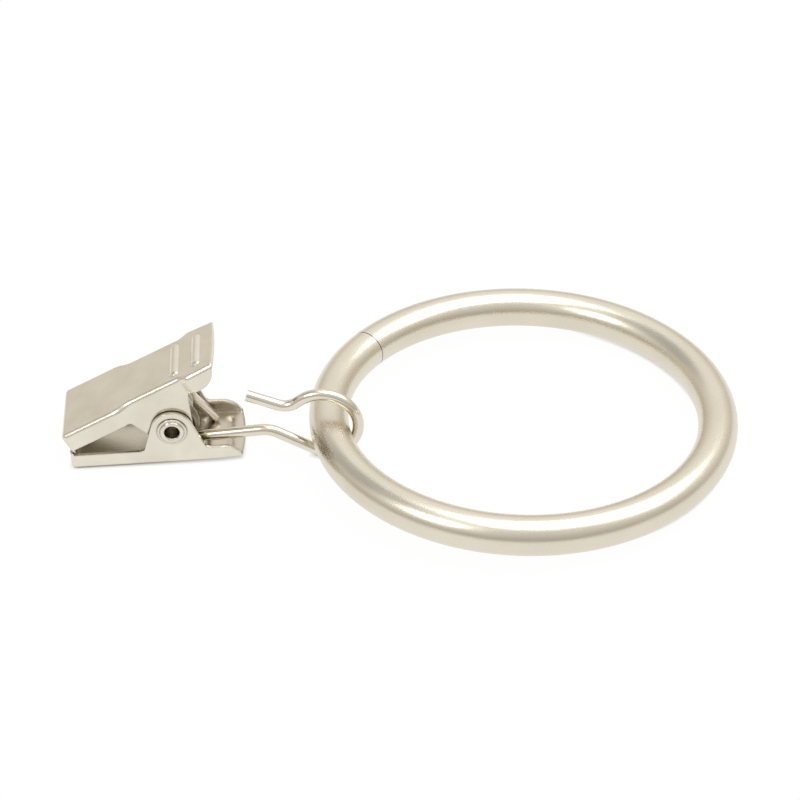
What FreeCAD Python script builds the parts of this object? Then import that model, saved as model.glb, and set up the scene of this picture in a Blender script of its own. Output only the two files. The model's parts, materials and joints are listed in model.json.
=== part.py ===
import FreeCAD, Part
import math
import os

# Curtain ring with a wire hook and a sprung clip, as it lies on a table.
# Millimetres, +Z up, +X from the clip to the ring.

# Ring: bent tube, closed by a butt seam
ring_inner_diameter = 44.5
tube_diameter = 5.0
tube_wall = 0.6
seam_gap = 0.12
seam_direction = 141.5

# Hook: one wire, bent in one plane
hook_wire_diameter = 1.45
eye_radius = 2.7
eye_turn = 285.0
shank_length = 10.9
neck_radius = 3.5
neck_turn = 36.0
leg_length = 4.7
loop_low_radius = 4.22
loop_low_turn = 95.6
loop_high_radius = 4.43
loop_high_turn = 149.5
mouth_length = 0.7
mouth_radius = 2.6
mouth_turn = 57.0
tip_length = 4.1

# Clip: two stamped jaws of one sheet
sheet = 0.5
fold_radius = 0.6
clip_width = 10.5
handle_width = 10.0
lower_depth = 5.0
lower_front = 13.2
lower_rear = 8.55
lower_flange = 2.05
lower_lip = 2.3
upper_depth = 6.15
upper_front = 12.75
upper_rear = 9.25
upper_flange = 2.53
jaw_angle = 25.85
ear_radius = 2.7
ear_front_slope = 72.0
ear_rear_slope = 68.0
ear_front_root_radius = 0.6
ear_rear_root_radius = 0.9
flange_end_radius = 2.7
lower_flange_end = 0.2
upper_flange_end = -0.1
lower_bulge = 0.42
upper_bulge = 0.25
set_in_start = 3.05
set_in_start_run = 1.6
set_in_start_radius = 3.0
set_in_end = 4.45
set_in_end_run = 1.1
set_in_end_radius = 0.55
corner_radius = 0.65
rib_positions = (3.95, 7.05)
rib_height = 0.28
rib_width = 1.35
rib_length = 7.0

# Rivet
rivet_diameter = 2.5
rivet_hole_diameter = 1.9
rivet_head_diameter = 3.75
rivet_rim_height = 0.18
rivet_rim_radius = 0.08
rivet_roll_diameter = 3.05
rivet_roll_height = 0.42
rivet_roll_radius = 0.24

# Spring
spring_wire_diameter = 1.2
spring_coil_radius = 2.0
spring_turns = 706.5
spring_low_direction = 33.5
spring_far_side = 2.15
spring_coil_gap = 0.054

# Clearances
ear_gap = 0.15
rivet_gap = 0.05
head_gap = 0.03
eye_drop = 0.58
eye_offset = 2.25
tube_gap = 0.2
lip_gap = 0.07
spring_end_gap = 0.05

# How the loose pieces lie against each other
hook_yaw = 7.6
ring_yaw = 4.2
tube_lean = 45.0

# Derived dimensions
half_width = clip_width / 2
taper = half_width - handle_width / 2
hook_radius = hook_wire_diameter / 2
tube_radius = tube_diameter / 2
ring_radius = ring_inner_diameter / 2 + tube_radius
set_in = sheet + ear_gap
rib_radius = (rib_width ** 2 / 4 + rib_height ** 2) / (2 * rib_height)


def side_point(x, z):
    return FreeCAD.Vector(x, 0, z)


def plan_point(x, y):
    return FreeCAD.Vector(x, y, 0)


def outline(corners):
    """Closed wire through (point, radius) corners, each rounded by its radius."""
    joins = []
    for i, (point, radius) in enumerate(corners):
        back = (corners[i - 1][0] - point).normalize()
        ahead = (corners[(i + 1) % len(corners)][0] - point).normalize()
        if radius == 0:
            joins.append((point, None, point))
            continue
        half = back.getAngle(ahead) / 2
        middle = (back + ahead).normalize()
        reach = radius / math.tan(half)
        turn = point + middle * (radius / math.sin(half) - radius)
        joins.append((point + back * reach, turn, point + ahead * reach))
    edges = []
    for i, (start, turn, end) in enumerate(joins):
        if turn is not None:
            edges.append(Part.Arc(start, turn, end).toShape())
        following = joins[(i + 1) % len(joins)][0]
        if end.distanceToPoint(following) > 0.000001:
            edges.append(Part.makeLine(end, following))
    return Part.Wire(edges)


def turned(shape, axis, degrees):
    """Copy of a shape turned about an axis through the rivet's centre."""
    copy = shape.copy()
    copy.rotate(FreeCAD.Vector(0, 0, 0), axis, degrees)
    return copy


def moved(shape, offset):
    copy = shape.copy()
    copy.translate(offset)
    return copy


def jaw_plan(half, front, rear, overrun, corner, inward):
    """Plan of a jaw with a narrower handle, set inwards where its ears pass inside the other jaw."""
    near = [(plan_point(-front, -half), corner)]
    if inward > 0:
        near.append((plan_point(-set_in_start - set_in_start_run, -half), set_in_start_radius))
        near.append((plan_point(-set_in_start, inward - half), set_in_start_radius))
        near.append((plan_point(set_in_end, inward - half), set_in_end_radius))
    near.append((plan_point(set_in_end + set_in_end_run, -half), set_in_end_radius))
    near.append((plan_point(rear, taper - half), set_in_end_radius))
    near.append((plan_point(rear + overrun, taper - half), 0))
    far = [(plan_point(point.x, -point.y), radius) for point, radius in reversed(near)]
    return Part.Face(outline(near + far))


def folded_block(plan, bottom, height, radius):
    """Block over a plan with its lower edges rounded as folds."""
    block = moved(plan, FreeCAD.Vector(0, 0, bottom)).extrude(FreeCAD.Vector(0, 0, height))
    low = [edge for edge in block.Edges if edge.BoundBox.ZMax < bottom + 0.001]
    return block.makeFillet(radius, low)


def jaw_side(depth, front, rear, flange, flange_end, lip):
    """Side view of a jaw: lip, flange, ear round the rivet, flange with a rounded end."""
    edge = flange - depth
    front_slope = math.radians(ear_front_slope)
    rear_slope = math.radians(ear_rear_slope)
    front_root = (edge * math.cos(front_slope) - ear_radius) / math.sin(front_slope)
    rear_root = (ear_radius - edge * math.cos(rear_slope)) / math.sin(rear_slope)
    high = (math.pi + front_slope - rear_slope) / 2
    apex = ear_radius / math.cos((front_slope + rear_slope) / 2)
    end = rear + flange_end
    below = -depth - 1
    corners = [
        (side_point(-front - 1, below), 0),
        (side_point(end, below), 0),
        (side_point(end, edge), flange_end_radius),
        (side_point(rear_root, edge), ear_rear_root_radius),
        (side_point(apex * math.cos(high), apex * math.sin(high)), ear_radius),
        (side_point(front_root, edge), ear_front_root_radius),
        (side_point(sheet - front, edge), 0),
        (side_point(sheet - front, lip - depth), 0),
        (side_point(-front - 1, lip - depth), 0),
    ]
    face = moved(Part.Face(outline(corners)), FreeCAD.Vector(0, -clip_width, 0))
    walls = face.extrude(FreeCAD.Vector(0, 2 * clip_width, 0))
    length = front + rear + 4
    slab = Part.makeBox(length, 2 * clip_width, sheet + 1, FreeCAD.Vector(-front - 1, -clip_width, below))
    return walls.fuse(slab)


def rib(x, depth, radius):
    """Bead across a jaw's plate with round ends."""
    half = (rib_length - rib_width) / 2
    height = rib_radius - rib_height - depth
    near = FreeCAD.Vector(x, -half, height)
    bar = Part.makeCylinder(radius, 2 * half, near, FreeCAD.Vector(0, 1, 0))
    ends = [Part.makeSphere(radius, FreeCAD.Vector(x, side * half, height)) for side in (-1, 1)]
    return bar.multiFuse(ends)


def jaw(depth, front, rear, bulge, flange, flange_end, lip, inward):
    """Stamped jaw with its plate below and the rivet's axis on the Y axis."""
    height = depth + 2 * ear_radius
    outside = folded_block(jaw_plan(half_width, front, rear, 3, corner_radius, inward), -depth, height, fold_radius)
    inner_plan = jaw_plan(half_width - sheet, front - sheet, rear, 2, corner_radius - sheet, inward)
    inside = folded_block(inner_plan, sheet - depth, height, fold_radius - sheet)
    tray = outside.cut(inside).common(jaw_side(depth, front, rear, flange, flange_end, lip))
    bulge_radius = (handle_width ** 2 / 4 + bulge ** 2) / (2 * bulge)
    bulge_base = FreeCAD.Vector(rear + bulge - bulge_radius, 0, -2 * depth)
    tray = tray.common(Part.makeCylinder(bulge_radius, 4 * depth, bulge_base))
    under = Part.makeBox(4 * rib_width, clip_width, depth, FreeCAD.Vector(0, -half_width, sheet / 2 - 2 * depth))
    for x in rib_positions:
        limit = moved(under, FreeCAD.Vector(x - 2 * rib_width, 0, 0))
        tray = tray.fuse(rib(x, depth, rib_radius).common(limit))
        tray = tray.cut(rib(x, depth, rib_radius - sheet))
    hole_start = FreeCAD.Vector(0, -clip_width, 0)
    hole_radius = rivet_diameter / 2 + rivet_gap
    hole = Part.makeCylinder(hole_radius, 2 * clip_width, hole_start, FreeCAD.Vector(0, 1, 0))
    return tray.cut(hole).removeSplitter().Solids[0]


def make_rivet():
    """Hollow rivet with a flat rim and a rolled collar at each end, turned about the Y axis."""
    seat = half_width + head_gap
    rim = seat + rivet_rim_height
    top = seat + rivet_roll_height
    head = rivet_head_diameter / 2
    roll = rivet_roll_diameter / 2
    far = [
        (plan_point(rivet_hole_diameter / 2, top), rivet_roll_radius),
        (plan_point(roll, top), rivet_roll_radius),
        (plan_point(roll, rim), 0),
        (plan_point(head, rim), rivet_rim_radius),
        (plan_point(head, seat), 0),
        (plan_point(rivet_diameter / 2, seat), 0),
    ]
    near = [(plan_point(point.x, -point.y), radius) for point, radius in reversed(far)]
    face = Part.Face(outline(far + near))
    return face.revolve(FreeCAD.Vector(0, 0, 0), FreeCAD.Vector(0, 1, 0), 360)


def make_spring(upper_leg_end):
    """Torsion spring round the rivet, one leg on each handle."""
    turn = spring_turns / 360
    pitch = spring_wire_diameter + spring_coil_gap
    coil = Part.makeHelix(pitch, pitch * turn, spring_coil_radius)
    coil.rotate(FreeCAD.Vector(0, 0, 0), FreeCAD.Vector(0, 0, 1), spring_low_direction)
    coil.rotate(FreeCAD.Vector(0, 0, 0), FreeCAD.Vector(1, 0, 0), 90)
    coil.translate(FreeCAD.Vector(0, spring_far_side, 0))
    edge = coil.Edges[0]
    far, near = edge.FirstParameter, edge.LastParameter
    low_way = edge.tangentAt(far) * -1
    high_way = edge.tangentAt(near)
    low_start, high_start = edge.valueAt(far), edge.valueAt(near)
    rest = sheet + spring_end_gap - lower_depth + spring_wire_diameter / 2 * abs(low_way.x)
    low_end = low_start + low_way * ((rest - low_start.z) / low_way.z)
    high_end = high_start + high_way * upper_leg_end(high_start, high_way)
    path = Part.Wire([Part.makeLine(low_end, low_start), edge, Part.makeLine(high_start, high_end)])
    section = Part.Wire([Part.makeCircle(spring_wire_diameter / 2, low_end, low_way)])
    return path.makePipeShell([section], True, False)


def upper_leg_length(start, way):
    """Length from a point along a direction to just under the upper jaw's plate."""
    angle = math.radians(jaw_angle)
    normal = FreeCAD.Vector(-math.sin(angle), 0, math.cos(angle))
    slant = math.sqrt(max(0, 1 - normal.dot(way) ** 2))
    room = upper_depth - sheet - spring_end_gap - spring_wire_diameter / 2 * slant
    return (room - normal.dot(start)) / normal.dot(way)


def bent_path(start, heading, bends):
    """Edges of a wire bent in the XZ plane from (straight, radius, turn) steps, and its bend centres."""
    edges = []
    centres = []
    point = start
    for straight, radius, turn in bends:
        way = side_point(math.cos(heading), math.sin(heading))
        if straight > 0:
            edges.append(Part.makeLine(point, point + way * straight))
            point = point + way * straight
        if turn == 0:
            continue
        left = math.copysign(1, turn)
        centre = point + side_point(-way.z, way.x) * (radius * left)
        centres.append(centre)
        arm = point - centre
        stops = []
        for part in (0.5, 1.0):
            swing = math.radians(turn) * part
            x = arm.x * math.cos(swing) - arm.z * math.sin(swing)
            z = arm.x * math.sin(swing) + arm.z * math.cos(swing)
            stops.append(centre + side_point(x, z))
        edges.append(Part.Arc(point, stops[0], stops[1]).toShape())
        point = stops[1]
        heading = heading + math.radians(turn)
    return edges, centres


def hook_path():
    """Centre line of the hook, shank along +X and the rivet's axis at the origin."""
    cut = math.radians(-90 - eye_turn)
    start = side_point(eye_radius * math.cos(cut), eye_radius * math.sin(cut) - eye_drop)
    bends = [
        (0, eye_radius, eye_turn),
        (shank_length, neck_radius, -neck_turn),
        (leg_length, loop_low_radius, loop_low_turn),
        (0, loop_high_radius, loop_high_turn),
        (mouth_length, mouth_radius, -mouth_turn),
        (tip_length, 0, 0),
    ]
    return bent_path(start, math.radians(-eye_turn), bends)


def make_hook():
    edges, centres = hook_path()
    start = edges[0].valueAt(edges[0].FirstParameter)
    way = edges[0].tangentAt(edges[0].FirstParameter)
    section = Part.Face(Part.Wire([Part.makeCircle(hook_radius, start, way)]))
    return Part.Wire(edges).makePipe(section)


def make_ring():
    """Hollow tube bent to a ring round the origin, open only at its seam."""
    gap = math.degrees(seam_gap / ring_radius)
    bodies = []
    for radius in (tube_radius, tube_radius - tube_wall):
        centre = FreeCAD.Vector(ring_radius, 0, 0)
        circle = Part.makeCircle(radius, centre, FreeCAD.Vector(0, 1, 0))
        disc = Part.Face(Part.Wire([circle]))
        bodies.append(disc.revolve(FreeCAD.Vector(0, 0, 0), FreeCAD.Vector(0, 0, 1), 360 - gap))
    ring = bodies[0].cut(bodies[1]).Solids[0]
    ring.rotate(FreeCAD.Vector(0, 0, 0), FreeCAD.Vector(0, 0, 1), seam_direction + gap / 2)
    return ring


def upper_lip():
    """Height of the upper jaw's lip that just meets the lower one."""
    angle = math.radians(jaw_angle)
    meeting = lower_lip + lip_gap - lower_depth
    return upper_depth - (meeting + upper_front * math.sin(angle)) / math.cos(angle)


def clip_rest():
    """Tilt of the clip and height of the rivet when the lower jaw lies on its front fold and first rib."""
    front = side_point(fold_radius - lower_front, fold_radius - lower_depth)
    bead = side_point(rib_positions[0], rib_radius - rib_height - lower_depth)
    span = bead - front
    tilt = math.asin((rib_radius - fold_radius) / span.Length) - math.atan2(span.z, span.x)
    height = fold_radius - front.z * math.cos(tilt) - front.x * math.sin(tilt)
    return tilt, height


def hook_rest(height):
    """Pitch of the hook when its loop meets the table, and the tube's place in the loop's plane."""
    low = hook_path()[1][2]
    drop = (loop_low_radius + hook_radius - height) / low.Length
    pitch = math.asin(drop) - math.atan2(low.z, low.x)
    x = low.x * math.cos(pitch) - low.z * math.sin(pitch)
    z = low.x * math.sin(pitch) + low.z * math.cos(pitch)
    slack = loop_low_radius - hook_radius - tube_radius - tube_gap
    lean = math.radians(tube_lean)
    return pitch, side_point(x + slack * math.sin(lean), z - slack * math.cos(lean))


def build():
    across = FreeCAD.Vector(0, 1, 0)
    upward = FreeCAD.Vector(0, 0, 1)
    tilt, height = clip_rest()
    pitch, tube = hook_rest(height)
    lift = FreeCAD.Vector(0, 0, height)

    upper_sizes = (upper_depth, upper_front, upper_rear, upper_bulge, upper_flange, upper_flange_end)
    lower_sizes = (lower_depth, lower_front, lower_rear, lower_bulge, lower_flange, lower_flange_end)
    upper = turned(jaw(*upper_sizes, upper_lip(), set_in), FreeCAD.Vector(1, 0, 0), 180)
    clip = {
        "lower_jaw": jaw(*lower_sizes, lower_lip, 0),
        "upper_jaw": turned(upper, across, -jaw_angle),
        "rivet": make_rivet(),
        "spring": make_spring(upper_leg_length),
    }
    shapes = {}
    for name, shape in clip.items():
        shapes[name] = moved(turned(shape, across, -math.degrees(tilt)), lift)

    beside = FreeCAD.Vector(0, -eye_offset, 0)
    hook = turned(turned(make_hook(), across, -math.degrees(pitch)), upward, -hook_yaw)
    shapes["hook"] = moved(hook, lift + beside)

    yaw = math.radians(hook_yaw)
    crossing = FreeCAD.Vector(tube.x * math.cos(yaw), -tube.x * math.sin(yaw), tube.z) + lift + beside
    outward = math.radians(ring_yaw)
    hinge = FreeCAD.Vector(-math.sin(outward), math.cos(outward), 0)
    lean = math.asin((crossing.z - tube_radius) / (2 * ring_radius))
    flat = ring_radius * math.cos(lean)
    drop = -ring_radius * math.sin(lean)
    centre = crossing + FreeCAD.Vector(flat * math.cos(outward), flat * math.sin(outward), drop)
    shapes["ring"] = moved(turned(make_ring(), hinge, math.degrees(lean)), centre)

    box = Part.makeCompound(list(shapes.values())).optimalBoundingBox(False, False)
    home = FreeCAD.Vector(-box.Center.x, -box.Center.y, -box.ZMin)
    places = {"rivet": lift + home, "eye": lift + beside + home, "tube": crossing + home, "ring": centre + home}
    return {name: moved(shape, home) for name, shape in shapes.items()}, places


os.makedirs("parts", exist_ok=True)
nodes, places = build()
for name, shape in nodes.items():
    shape.exportStep("parts/" + name + ".step")
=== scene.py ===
import json
import math

import bmesh
import bpy
from mathutils import Matrix, Vector


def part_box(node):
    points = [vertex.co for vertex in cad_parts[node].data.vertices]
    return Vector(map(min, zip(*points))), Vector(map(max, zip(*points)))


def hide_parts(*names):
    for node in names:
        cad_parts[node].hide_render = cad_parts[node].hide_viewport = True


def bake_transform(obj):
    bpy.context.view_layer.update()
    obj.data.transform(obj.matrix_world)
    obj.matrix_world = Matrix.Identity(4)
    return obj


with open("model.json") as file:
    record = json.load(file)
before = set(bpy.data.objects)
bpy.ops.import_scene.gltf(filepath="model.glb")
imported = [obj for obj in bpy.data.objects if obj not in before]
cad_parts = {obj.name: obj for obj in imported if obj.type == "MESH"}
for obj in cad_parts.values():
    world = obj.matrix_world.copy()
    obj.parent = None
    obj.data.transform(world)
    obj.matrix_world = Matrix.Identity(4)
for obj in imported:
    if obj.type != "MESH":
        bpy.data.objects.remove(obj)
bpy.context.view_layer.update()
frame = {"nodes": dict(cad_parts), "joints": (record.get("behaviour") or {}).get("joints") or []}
nodes = frame["nodes"]

MM = 0.001

# Sizes of the part that its finishes follow
ring_radius = 24.75 * MM
tube_radius = 2.5 * MM
jaw_inner_half_width = 4.77 * MM
jaw_joint = next(joint for joint in frame["joints"] if joint["name"] == "jaw_open")
rivet_centre = Vector(jaw_joint["pos_m"])
coil_reach = 2.4 * MM
eye_reach = 3.4 * MM
wire_fade = 0.6 * MM
bore_reach = 0.97 * MM
bore_fade = 0.05 * MM

# Sizes of the spring
merge_distance = 0.001 * MM
cut_end_angle = math.radians(40)

# Sizes of the stage, and the picture that the camera is set for
floor_half_width = 1.2
floor_drop = 0.02 * MM
contact_reach = 0.6 * MM
glow_share = 0.97
image_width_px = 800
sensor_width_mm = 36
nearest_seen = 0.01

# Sockets of a Mix node that mixes two colours
mix_share = 0
mix_first = 6
mix_second = 7
mix_result = 2


# Helpers
def colour(code):
    """Linear colour of an sRGB hex value."""
    channels = [int(code[start:start + 2], 16) / 255 for start in (1, 3, 5)]
    linear = [
        level / 12.92 if level <= 0.04045 else ((level + 0.055) / 1.055) ** 2.4
        for level in channels]
    return (*linear, 1.0)


def add(tree, kind, sockets=None, **settings):
    """Adds a node with its settings; a socket takes a value or another node's output."""
    node = tree.nodes.new(kind)
    for name, value in settings.items():
        setattr(node, name, value)
    for name, value in (sockets or {}).items():
        if isinstance(value, bpy.types.NodeSocket):
            tree.links.new(value, node.inputs[name])
        else:
            node.inputs[name].default_value = value
    return node


def new_material(name):
    """Material with an empty node tree."""
    material = bpy.data.materials.new(name)
    material.use_nodes = True
    material.node_tree.nodes.clear()
    return material, material.node_tree


def per_metre(size_mm):
    """Noise scale whose features are about this many millimetres across."""
    return 1 / (size_mm * MM)


def stops(ramp, points):
    """Sets a colour ramp's stops from (position, hex colour) pairs."""
    elements = ramp.color_ramp.elements
    while len(elements) < len(points):
        elements.new(1.0)
    for element, (position, code) in zip(elements, points):
        element.position = position
        element.color = colour(code)


# Finishes
def satin_nickel_tube():
    """Steel tube, brushed along its length and nickel plated: broad soft highlights with faint streaks."""
    material, tree = new_material("satin_brushed_nickel_plate")
    place = add(tree, "ShaderNodeTexCoord").outputs["Object"]
    low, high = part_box("ring")
    centred = add(tree, "ShaderNodeMapping", {"Vector": place, "Location": -(low + high) / 2})
    flat = add(tree, "ShaderNodeSeparateXYZ", {"Vector": centred.outputs["Vector"]})
    # Position along the tube and round it, in metres.
    bearing = add(tree, "ShaderNodeMath", {0: flat.outputs["Y"], 1: flat.outputs["X"]}, operation="ARCTAN2")
    across = add(tree, "ShaderNodeCombineXYZ", {"X": flat.outputs["X"], "Y": flat.outputs["Y"]})
    reach = add(tree, "ShaderNodeVectorMath", {0: across.outputs["Vector"]}, operation="LENGTH")
    outward = add(tree, "ShaderNodeMath", {0: reach.outputs["Value"], 1: ring_radius}, operation="SUBTRACT")
    lift = add(tree, "ShaderNodeMath", {
        0: flat.outputs["Z"], 1: outward.outputs["Value"]}, operation="ARCTAN2")
    along = add(tree, "ShaderNodeMath", {
        0: bearing.outputs["Value"], 1: ring_radius}, operation="MULTIPLY")
    around = add(tree, "ShaderNodeMath", {0: lift.outputs["Value"], 1: tube_radius}, operation="MULTIPLY")
    surface = add(tree, "ShaderNodeCombineXYZ", {
        "X": along.outputs["Value"], "Y": around.outputs["Value"]})
    # Brush streaks about 3 mm long; their real width of 0.05 mm is drawn at 0.15 mm so that it shows.
    streak_length_mm = 3.0
    streak_width_mm = 0.15
    stretch = add(tree, "ShaderNodeMapping", {
        "Vector": surface.outputs["Vector"], "Scale": (streak_width_mm / streak_length_mm, 1.0, 1.0)})
    streak = add(tree, "ShaderNodeTexNoise", {
        "Vector": stretch.outputs["Vector"], "Scale": per_metre(streak_width_mm), "Detail": 2.0})
    # Cloudy change of the plate's tone, about 9 mm across.
    cloud_mm = 9.0
    cloud = add(tree, "ShaderNodeTexNoise", {"Vector": place, "Scale": per_metre(cloud_mm), "Detail": 3.0})
    tone = add(tree, "ShaderNodeValToRGB", {"Fac": cloud.outputs["Fac"]})
    stops(tone, [(0.3, "#dcd4c2"), (0.7, "#e2dbca")])
    rough = add(tree, "ShaderNodeMapRange", {
        "Value": streak.outputs["Fac"], "From Min": 0.3, "From Max": 0.7, "To Min": 0.25, "To Max": 0.31})
    streak_depth = 0.0007 * MM
    grain = add(tree, "ShaderNodeBump", {
        "Height": streak.outputs["Fac"], "Strength": 1.0, "Distance": streak_depth})
    shader = add(tree, "ShaderNodeBsdfPrincipled", {
        "Base Color": tone.outputs["Color"], "Metallic": 1.0,
        "Roughness": rough.outputs["Result"], "Normal": grain.outputs["Normal"]})
    add(tree, "ShaderNodeOutputMaterial", {"Surface": shader.outputs["BSDF"]})
    return material


def inside_of_clip(tree, place):
    """1 on faces inside the folded jaws that look towards the rivet's axis, 0 outside and on cut edges."""
    facing = add(tree, "ShaderNodeTexCoord").outputs["Normal"]
    toward = add(tree, "ShaderNodeVectorMath", {0: rivet_centre, 1: place}, operation="SUBTRACT")
    crosswise = add(tree, "ShaderNodeVectorMath", {
        0: toward.outputs["Vector"], 1: (0.0, 1.0, 1.0)}, operation="MULTIPLY")
    look = add(tree, "ShaderNodeVectorMath", {
        0: crosswise.outputs["Vector"], 1: facing}, operation="DOT_PRODUCT")
    inner = add(tree, "ShaderNodeMapRange", {
        "Value": look.outputs["Value"], "From Min": 0.0, "From Max": 0.5 * MM})
    sides = add(tree, "ShaderNodeSeparateXYZ", {"Vector": toward.outputs["Vector"]})
    reach = add(tree, "ShaderNodeMath", {0: sides.outputs["Y"]}, operation="ABSOLUTE")
    within = add(tree, "ShaderNodeMath", {
        0: reach.outputs["Value"], 1: jaw_inner_half_width}, operation="LESS_THAN")
    both = add(tree, "ShaderNodeMath", {
        0: inner.outputs["Result"], 1: within.outputs["Value"]}, operation="MULTIPLY")
    return both.outputs["Value"]


def near_rivet(tree, place, reach, fade):
    """1 within this reach of the rivet's axis, and 0 beyond the fade."""
    toward = add(tree, "ShaderNodeVectorMath", {0: rivet_centre, 1: place}, operation="SUBTRACT")
    square_on = add(tree, "ShaderNodeVectorMath", {
        0: toward.outputs["Vector"], 1: (1.0, 0.0, 1.0)}, operation="MULTIPLY")
    distance = add(tree, "ShaderNodeVectorMath", {0: square_on.outputs["Vector"]}, operation="LENGTH")
    near = add(tree, "ShaderNodeMapRange", {
        "Value": distance.outputs["Value"], "From Min": reach, "From Max": reach + fade,
        "To Min": 1.0, "To Max": 0.0})
    return near.outputs["Result"]


def on_coil(tree, place):
    """1 on the spring's coil, 0 on the legs that leave it."""
    return near_rivet(tree, place, coil_reach, wire_fade)


def on_eye(tree, place):
    """1 on the hook's eye, 0 on the shank that leaves it."""
    return near_rivet(tree, place, eye_reach, wire_fade)


def in_bore(tree, place):
    """1 in the rivet's bore, 0 on its heads."""
    return near_rivet(tree, place, bore_reach, bore_fade)


def bright_nickel(
        name, dark, light, roughness, wave_mm, wave_depth_mm, edge_mm,
        painted_shade=None, painted_shade_where=None, inner_edge_mm=None):
    """Nickel plate that mirrors the room, a little uneven where the metal was pressed or drawn, with
    painted shade in gaps and where asked.
    """
    material, tree = new_material(name)
    place = add(tree, "ShaderNodeTexCoord").outputs["Object"]
    # Cloudy change of the plate's tone, about 4 mm across.
    cloud_mm = 4.0
    cloud = add(tree, "ShaderNodeTexNoise", {"Vector": place, "Scale": per_metre(cloud_mm), "Detail": 3.0})
    tone = add(tree, "ShaderNodeValToRGB", {"Fac": cloud.outputs["Fac"]})
    stops(tone, [(0.3, dark), (0.7, light)])
    plate = tone.outputs["Color"]
    # Fine rubbing marks of about 0.3 mm, seen as a change of gloss.
    rub_mm = 0.3
    rub = add(tree, "ShaderNodeTexNoise", {"Vector": place, "Scale": per_metre(rub_mm), "Detail": 2.0})
    rough = add(tree, "ShaderNodeMapRange", {
        "Value": rub.outputs["Fac"], "From Min": 0.3, "From Max": 0.7,
        "To Min": roughness * 0.85, "To Max": roughness * 1.15})
    gloss = rough.outputs["Result"]
    edge = edge_mm * MM
    if painted_shade:
        # Painted shade: folds, bores and coils get a darker, warmer colour that stands in for the shade in
        # them; they are also a little rougher.
        added_roughness = 0.1
        painted_shade_mask = painted_shade_where(tree, place)
        plate_with_painted_shade = add(tree, "ShaderNodeMix", {
            mix_share: painted_shade_mask, mix_first: plate, mix_second: colour(painted_shade)}, data_type="RGBA")
        plate = plate_with_painted_shade.outputs[mix_result]
        duller = add(tree, "ShaderNodeMath", {
            0: painted_shade_mask, 1: added_roughness, 2: gloss}, operation="MULTIPLY_ADD")
        gloss = duller.outputs["Value"]
        if inner_edge_mm:
            # The punch leaves a wider round on the inside of a fold than on the outside.
            wider = add(tree, "ShaderNodeMath", {
                0: painted_shade_mask, 1: (inner_edge_mm - edge_mm) * MM, 2: edge}, operation="MULTIPLY_ADD")
            edge = wider.outputs["Value"]
    # Painted shade: narrow gaps, where little light gets in, get a thin dark line in the plate's colour.
    gap_reach = 0.25 * MM
    gap = add(tree, "ShaderNodeAmbientOcclusion", {"Distance": gap_reach}, samples=4)
    clear = add(tree, "ShaderNodeMapRange", {
        "Value": gap.outputs["AO"], "From Min": 0.45, "From Max": 0.95})
    plate_with_gap_shade = add(tree, "ShaderNodeMix", {
        mix_share: clear.outputs["Result"], mix_first: colour("#5e574b"), mix_second: plate},
        data_type="RGBA")
    # Folds and pressed edges are a little rounded, so they catch a soft line of light.
    rounded = add(tree, "ShaderNodeBevel", {"Radius": edge}, samples=4)
    wave = add(tree, "ShaderNodeTexNoise", {"Vector": place, "Scale": per_metre(wave_mm), "Detail": 1.0})
    uneven = add(tree, "ShaderNodeBump", {
        "Height": wave.outputs["Fac"], "Strength": 1.0, "Distance": wave_depth_mm * MM,
        "Normal": rounded.outputs["Normal"]})
    shader = add(tree, "ShaderNodeBsdfPrincipled", {
        "Base Color": plate_with_gap_shade.outputs[mix_result], "Metallic": 1.0,
        "Roughness": gloss, "Normal": uneven.outputs["Normal"]})
    add(tree, "ShaderNodeOutputMaterial", {"Surface": shader.outputs["BSDF"]})
    return material


# The pieces and their finishes
def dress(name, material):
    """Gives a CAD node its finish."""
    nodes[name].data.materials.clear()
    nodes[name].data.materials.append(material)


def twisting_spring(material):
    """The spring's wire, copied from the CAD node with its doubled points merged, shown in place of that
    node.
    """
    mesh = bpy.data.meshes.new("spring_coil")
    wire = bmesh.new()
    wire.from_mesh(nodes["spring"].data)
    bmesh.ops.remove_doubles(wire, verts=wire.verts, dist=merge_distance)
    wire.to_mesh(mesh)
    wire.free()
    mesh.shade_smooth()
    mesh.set_sharp_from_angle(angle=cut_end_angle)
    mesh.materials.append(material)
    piece = bpy.data.objects.new("spring_coil", mesh)
    bpy.context.scene.collection.objects.link(piece)
    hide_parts("spring")
    # The far leg lies on the lower jaw and the near leg under the upper jaw.
    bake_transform(piece)


dress("ring", satin_nickel_tube())

# Sheet pressed between smooth tools: flat faces with slow waves, and bright lines along the folds. The
# faces inside the folded jaws are painted darker, as painted shade.
stamped_sheet = bright_nickel(
    "bright_nickel_plate_on_stamped_sheet", "#ddd6c6", "#e7e1d2",
    roughness=0.2, wave_mm=2.5, wave_depth_mm=0.002, edge_mm=0.25,
    painted_shade="#cfc6b4", painted_shade_where=inside_of_clip, inner_edge_mm=0.8)
dress("lower_jaw", stamped_sheet)
dress("upper_jaw", stamped_sheet)

# Wire drawn through a die: one clear bright line along its length. Its eye inside the clip is painted
# darker, as painted shade.
dress("hook", bright_nickel(
    "bright_nickel_plate_on_drawn_wire", "#ddd5c5", "#e6dfd0",
    roughness=0.18, wave_mm=1.5, wave_depth_mm=0.003, edge_mm=0.08,
    painted_shade="#857d6e", painted_shade_where=on_eye))

# Heads rolled over by a tool: rings of light round a bore that is painted darker, as painted shade.
dress("rivet", bright_nickel(
    "bright_nickel_plate_on_rolled_rivet", "#ddd5c5", "#e6dfd0",
    roughness=0.18, wave_mm=1.5, wave_depth_mm=0.003, edge_mm=0.3,
    painted_shade="#c4bdb0", painted_shade_where=in_bore))

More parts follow.
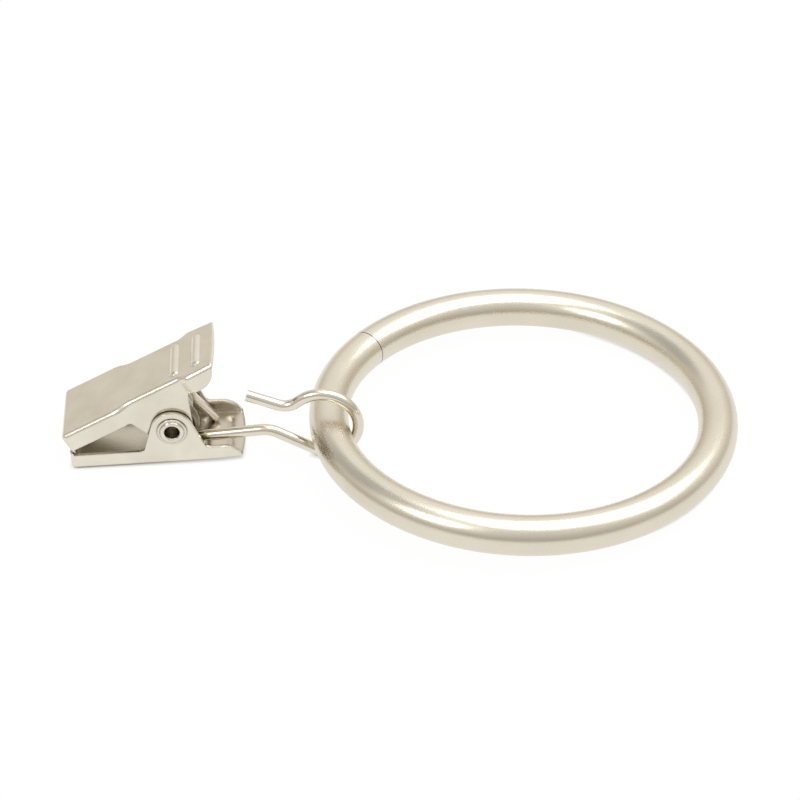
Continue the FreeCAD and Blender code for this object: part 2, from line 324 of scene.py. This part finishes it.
# Hard wire, plated after it was coiled and not polished, so its shine is softer. Its colour is painted
# paler, as painted light that makes the leg read as lit, and its coil is painted darker, as painted shade.
twisting_spring(bright_nickel(
    "bright_nickel_plate_on_spring_wire", "#ece6da", "#f4efe5",
    roughness=0.36, wave_mm=1.5, wave_depth_mm=0.003, edge_mm=0.08,
    painted_shade="#a39b8b", painted_shade_where=on_coil))


# Stage, light and camera
def white_where_seen(tree):
    """1 for rays that see the background directly, in a reflection or through glass."""
    path = add(tree, "ShaderNodeLightPath")
    mirrored = add(tree, "ShaderNodeMath", {
        0: path.outputs["Is Camera Ray"], 1: path.outputs["Is Glossy Ray"]}, operation="ADD")
    seen = add(tree, "ShaderNodeMath", {
        0: mirrored.outputs["Value"], 1: path.outputs["Is Transmission Ray"]},
        operation="ADD", use_clamp=True)
    return seen.outputs["Value"]


def make_floor():
    """White paper on the table that keeps a little of the part's shadow."""
    mesh = bpy.data.meshes.new("white_paper_floor")
    sheet = bmesh.new()
    bmesh.ops.create_grid(sheet, x_segments=1, y_segments=1, size=floor_half_width)
    bmesh.ops.translate(sheet, verts=sheet.verts, vec=(0, 0, -floor_drop))
    sheet.to_mesh(mesh)
    sheet.free()
    floor = bpy.data.objects.new("white_paper_floor", mesh)
    bpy.context.scene.collection.objects.link(floor)
    material, tree = new_material("white_paper")
    paper = add(tree, "ShaderNodeBsdfDiffuse", {"Color": colour("#f2f1ee")})
    glow = add(tree, "ShaderNodeEmission", {"Color": colour("#ffffff"), "Strength": 1.0})
    # The paper loses its glow within 0.6 mm of the part, which leaves a thin contact shadow.
    contact = add(tree, "ShaderNodeAmbientOcclusion", {"Distance": contact_reach}, samples=8)
    share = add(tree, "ShaderNodeMath", {
        0: white_where_seen(tree), 1: contact.outputs["AO"]}, operation="MULTIPLY")
    most = add(tree, "ShaderNodeMath", {0: share.outputs["Value"], 1: glow_share}, operation="MULTIPLY")
    blend = add(tree, "ShaderNodeMixShader", {
        "Fac": most.outputs["Value"], 1: paper.outputs["BSDF"], 2: glow.outputs["Emission"]})
    add(tree, "ShaderNodeOutputMaterial", {"Surface": blend.outputs["Shader"]})
    mesh.materials.append(material)


def make_room():
    """Pale studio walls, a little dimmer near the floor; the camera sees plain white."""
    world = bpy.data.worlds.new("pale_studio")
    bpy.context.scene.world = world
    world.use_nodes = True
    tree = world.node_tree
    tree.nodes.clear()
    way = add(tree, "ShaderNodeTexCoord").outputs["Generated"]
    parts = add(tree, "ShaderNodeSeparateXYZ", {"Vector": way})
    height = add(tree, "ShaderNodeMapRange", {
        "Value": parts.outputs["Z"], "From Min": -1.0, "From Max": 1.0})
    walls = add(tree, "ShaderNodeValToRGB", {"Fac": height.outputs["Result"]})
    stops(walls, [
        (0.0, "#d4cfc8"), (0.5, "#d4cfc8"), (0.58, "#dad5ce"),
        (0.64, "#e6e1da"), (0.70, "#f4f0ea"), (0.78, "#ffffff")])
    # The room is darker behind the camera, and in the gap between the two lamps on the left.
    front = add(tree, "ShaderNodeMapRange", {
        "Value": parts.outputs["Y"], "From Min": -1.0, "From Max": 0.8, "To Min": 0.7, "To Max": 1.0})
    way_to_gap = (-0.6, 0.35, 0.72)
    near_gap = add(tree, "ShaderNodeVectorMath", {0: way, 1: way_to_gap}, operation="DOT_PRODUCT")
    gap = add(tree, "ShaderNodeMapRange", {
        "Value": near_gap.outputs["Value"], "From Min": 0.88, "From Max": 0.96,
        "To Min": 1.0, "To Max": 0.56})
    both = add(tree, "ShaderNodeMath", {
        0: front.outputs["Result"], 1: gap.outputs["Result"]}, operation="MULTIPLY")
    dim = add(tree, "ShaderNodeVectorMath", {
        0: walls.outputs["Color"], "Scale": both.outputs["Value"]}, operation="SCALE")
    room = add(tree, "ShaderNodeBackground", {"Color": dim.outputs["Vector"], "Strength": 1.0})
    plain = add(tree, "ShaderNodeBackground", {"Color": colour("#ffffff"), "Strength": 1.0})
    path = add(tree, "ShaderNodeLightPath")
    blend = add(tree, "ShaderNodeMixShader", {
        "Fac": path.outputs["Is Camera Ray"],
        1: room.outputs["Background"], 2: plain.outputs["Background"]})
    add(tree, "ShaderNodeOutputWorld", {"Surface": blend.outputs["Shader"]})


def softbox(name, place, width, height, power):
    """Oblong soft lamp aimed at the part; its place and sides are in metres, its power in watts."""
    lamp = bpy.data.lights.new(name, "AREA")
    lamp.shape = "RECTANGLE"
    lamp.size = width
    lamp.size_y = height
    lamp.energy = power
    body = bpy.data.objects.new(name, lamp)
    bpy.context.scene.collection.objects.link(body)
    body.location = place
    body.rotation_mode = "QUATERNION"
    body.rotation_quaternion = (-Vector(place)).to_track_quat("-Z", "Y")


def make_camera(azimuth, elevation, roll, distance_mm, target_mm, focal_px):
    """Camera at the photograph's viewing angle; angles are in degrees."""
    swing, rise, lean = (math.radians(angle) for angle in (azimuth, elevation, roll))
    back = Vector((math.sin(swing) * math.cos(rise), -math.cos(swing) * math.cos(rise), math.sin(rise)))
    level = Vector((math.cos(swing), math.sin(swing), 0))
    steep = back.cross(level)
    right = level * math.cos(lean) + steep * math.sin(lean)
    upward = steep * math.cos(lean) - level * math.sin(lean)
    data = bpy.data.cameras.new("camera")
    data.sensor_width = sensor_width_mm
    data.lens = focal_px / image_width_px * sensor_width_mm
    data.clip_start = nearest_seen
    camera = bpy.data.objects.new("camera", data)
    bpy.context.scene.collection.objects.link(camera)
    turn = Matrix((right, upward, back)).transposed().to_4x4()
    camera.matrix_world = Matrix.Translation(Vector(target_mm) * MM + back * distance_mm * MM) @ turn
    bpy.context.scene.camera = camera


make_floor()
make_room()
softbox("overhead_softbox", place=(0.26, 0.07, 0.74), width=0.62, height=0.85, power=4.2)
softbox("left_softbox", place=(-0.45, -0.34, 0.57), width=0.28, height=0.28, power=1.0)
make_camera(
    azimuth=-0.849, elevation=35.825, roll=-2.311,
    distance_mm=395.4, target_mm=(0.184, 9.394, 0.0), focal_px=3030.3)
bpy.context.scene.view_settings.view_transform = "Standard"
